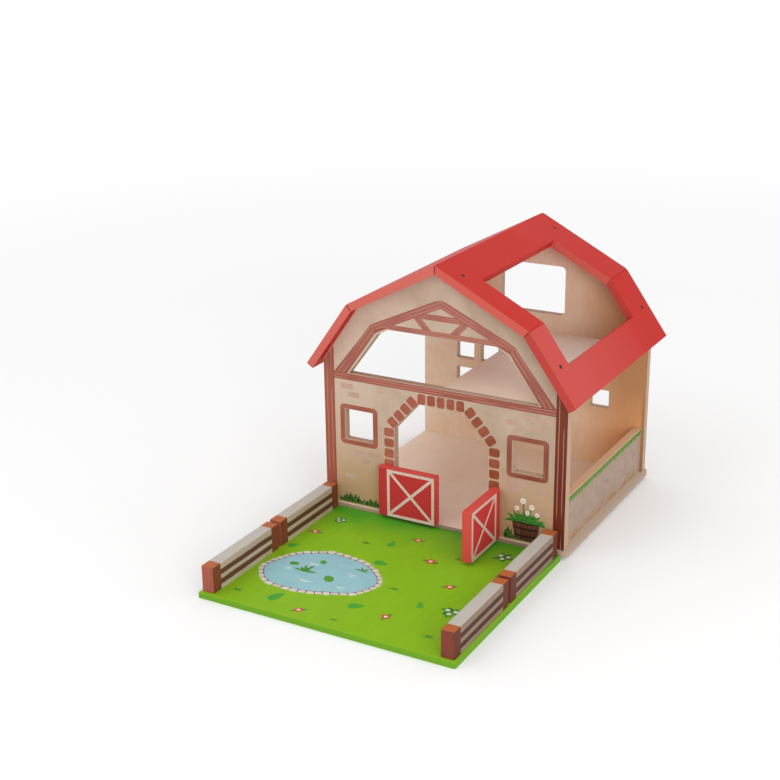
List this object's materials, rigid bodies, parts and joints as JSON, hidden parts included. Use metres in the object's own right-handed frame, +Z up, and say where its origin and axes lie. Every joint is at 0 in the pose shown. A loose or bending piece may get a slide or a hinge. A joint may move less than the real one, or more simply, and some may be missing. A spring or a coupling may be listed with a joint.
{
  "type": "toy barn with opening doors",
  "caption": "Wooden play barn with a gambrel roof, open sides, a loft and roof hatch opening, two swinging doors and a fenced yard board.",
  "frame": {"origin": "on the table, under the middle of the whole toy's box, with the yard board pushed up to the barn", "axes": "+X to the right as seen from the yard, +Y from the yard to the back of the barn, +Z up"},
  "size_m": [0.2724, 0.4376, 0.2605],
  "materials": {
    "base_wood": "bare plywood, fine sanded, satin",
    "front_wall_print": "plywood printed with timber framing and bricks, satin",
    "back_wall_print": "printed plywood, satin",
    "low_wall_print": "printed plywood with a grass edge, satin",
    "loft_wood": "printed plywood, satin",
    "roof_red": "plywood painted barn red, satin",
    "dark_screw": "blackened steel, satin",
    "dowel_wood": "beech dowel, sanded",
    "door_print": "wood painted red with pale printed bracing, satin",
    "pin_steel": "zinc plated steel wire",
    "yard_print": "plywood printed with grass, satin",
    "fence_print": "wood block printed with posts and pale rails, satin"
  },
  "bodies": {
    "barn": {"base_board": "base_wood", "front_batten": "base_wood", "rear_batten": "base_wood", "front_wall": "front_wall_print", "back_wall": "back_wall_print", "right_low_wall": "low_wall_print", "loft_floor": "loft_wood", "roof_left_upper": "roof_red", "roof_left_lower": "roof_red", "roof_right_upper": "roof_red", "roof_right_lower": "roof_red", "roof_screws": "dark_screw", "base_screws": "dark_screw", "wall_dowels": "dowel_wood", "left_hinge_pin": "pin_steel", "right_hinge_pin": "pin_steel"},
    "left_door": {"left_door": "door_print"},
    "right_door": {"right_door": "door_print"},
    "yard": {"yard_board": "yard_print"},
    "rear_left_fence": {"rear_left_fence": "fence_print", "rear_left_fence_pegs": "dowel_wood"},
    "front_left_fence": {"front_left_fence": "fence_print", "front_left_fence_pegs": "dowel_wood"},
    "rear_right_fence": {"rear_right_fence": "fence_print", "rear_right_fence_pegs": "dowel_wood"},
    "front_right_fence": {"front_right_fence": "fence_print", "front_right_fence_pegs": "dowel_wood"}
  },
  "joints": [
    {"name": "left_door_hinge", "type": "hinge", "parent": "barn", "child": "left_door", "pos_m": [-0.058, -0.0107, 0.0088], "axis": [0, 0, 1], "range_deg": [-145, 0]},
    {"name": "right_door_hinge", "type": "hinge", "parent": "barn", "child": "right_door", "pos_m": [0.058, -0.0107, 0.0088], "axis": [0, 0, 1], "range_deg": [-90, 55]},
    {"name": "yard_slide", "type": "slide", "parent": "barn", "child": "yard", "axis": [0, -1, 0], "range_m": [0, 0.06]},
    {"name": "rear_left_fence_lift", "type": "slide", "parent": "yard", "child": "rear_left_fence", "axis": [0, 0, 1], "range_m": [0, 0.012]},
    {"name": "front_left_fence_lift", "type": "slide", "parent": "yard", "child": "front_left_fence", "axis": [0, 0, 1], "range_m": [0, 0.012]},
    {"name": "rear_right_fence_lift", "type": "slide", "parent": "yard", "child": "rear_right_fence", "axis": [0, 0, 1], "range_m": [0, 0.012]},
    {"name": "front_right_fence_lift", "type": "slide", "parent": "yard", "child": "front_right_fence", "axis": [0, 0, 1], "range_m": [0, 0.012]}
  ]
}
